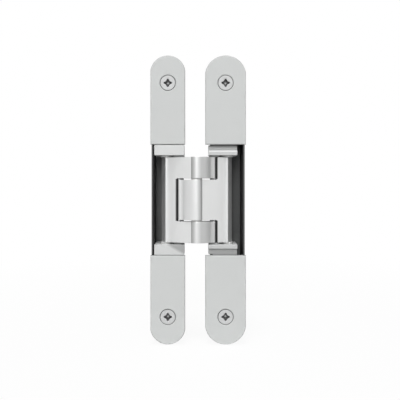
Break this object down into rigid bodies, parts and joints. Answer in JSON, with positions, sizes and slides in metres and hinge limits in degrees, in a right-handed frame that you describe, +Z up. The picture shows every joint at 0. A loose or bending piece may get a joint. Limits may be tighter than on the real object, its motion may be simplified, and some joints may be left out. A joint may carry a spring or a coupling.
{
  "type": "concealed door hinge",
  "caption": "Concealed invisible door hinge with two pocketed leaves joined by a pair of crossed, sliding arms, open flat, with fixing screws.",
  "frame": {"origin": "middle of the frame leaf, on the plane that its end blocks seat on, midway between its two fixing screws", "axes": "+X from the door leaf toward the frame leaf, +Y into the wood, +Z up along the leaves"},
  "size_m": [0.066, 0.0529, 0.2],
  "materials": {
    "cover_satin": "fine satin",
    "arm_satin": "satin",
    "block_satin": "satin",
    "dark_casting": "matt black coat",
    "screw_zinc": "bright zinc plate",
    "clamp_steel": "zinc plate",
    "pin_steel": "ground",
    "bush_polymer": "pale bearing polymer"
  },
  "bodies": {
    "frame": {"frame_body": "dark_casting", "frame_cover_upper": "cover_satin", "frame_cover_lower": "cover_satin", "frame_screws": "screw_zinc", "side_clamp_screws": "clamp_steel"},
    "side_slides": {"side_slide_upper": "block_satin", "side_slide_lower": "block_satin", "height_clamp_screws": "clamp_steel"},
    "frame_carriers": {"frame_carrier_upper": "block_satin", "frame_carrier_lower": "block_satin", "frame_pivot_pin": "pin_steel"},
    "frame_arm": {"frame_arm": "arm_satin", "frame_arm_pivot_bushes": "bush_polymer", "frame_arm_slide_pin": "pin_steel", "frame_arm_rollers": "bush_polymer", "centre_pin": "pin_steel"},
    "door_arm": {"door_arm": "arm_satin", "door_arm_pivot_bushes": "bush_polymer", "door_arm_slide_pin": "pin_steel", "door_arm_rollers": "bush_polymer", "centre_bushes": "bush_polymer"},
    "door": {"door_body": "dark_casting", "door_cover_upper": "cover_satin", "door_cover_lower": "cover_satin", "door_screws": "screw_zinc", "door_carrier_screws": "clamp_steel", "door_carrier_upper": "block_satin", "door_carrier_lower": "block_satin", "door_pivot_pin": "pin_steel"}
  },
  "joints": [
    {"name": "side_adjust", "type": "slide", "parent": "frame", "child": "side_slides", "axis": [1, 0, 0], "range_m": [-0.003, 0.003]},
    {"name": "height_adjust", "type": "slide", "parent": "side_slides", "child": "frame_carriers", "axis": [0, 0, 1], "range_m": [-0.003, 0.003]},
    {"name": "frame_swing", "type": "hinge", "parent": "frame_carriers", "child": "frame_arm", "pos_m": [-0.0075, -0.004, 0], "axis": [0, 0, 1], "range_deg": [0, 108]},
    {"name": "centre_fold", "type": "hinge", "parent": "frame_arm", "child": "door_arm", "pos_m": [-0.02, -0.01011, 0], "axis": [0, 0, 1], "range_deg": [-36, 0]},
    {"name": "door_swing", "type": "hinge", "parent": "door_arm", "child": "door", "pos_m": [-0.0325, -0.004, 0], "axis": [0, 0, 1], "range_deg": [0, 108]}
  ],
  "couplings": [
    {"joint": "centre_fold", "follows": "frame_swing", "ratio": -0.33333},
    {"joint": "door_swing", "follows": "frame_swing", "ratio": 1}
  ]
}
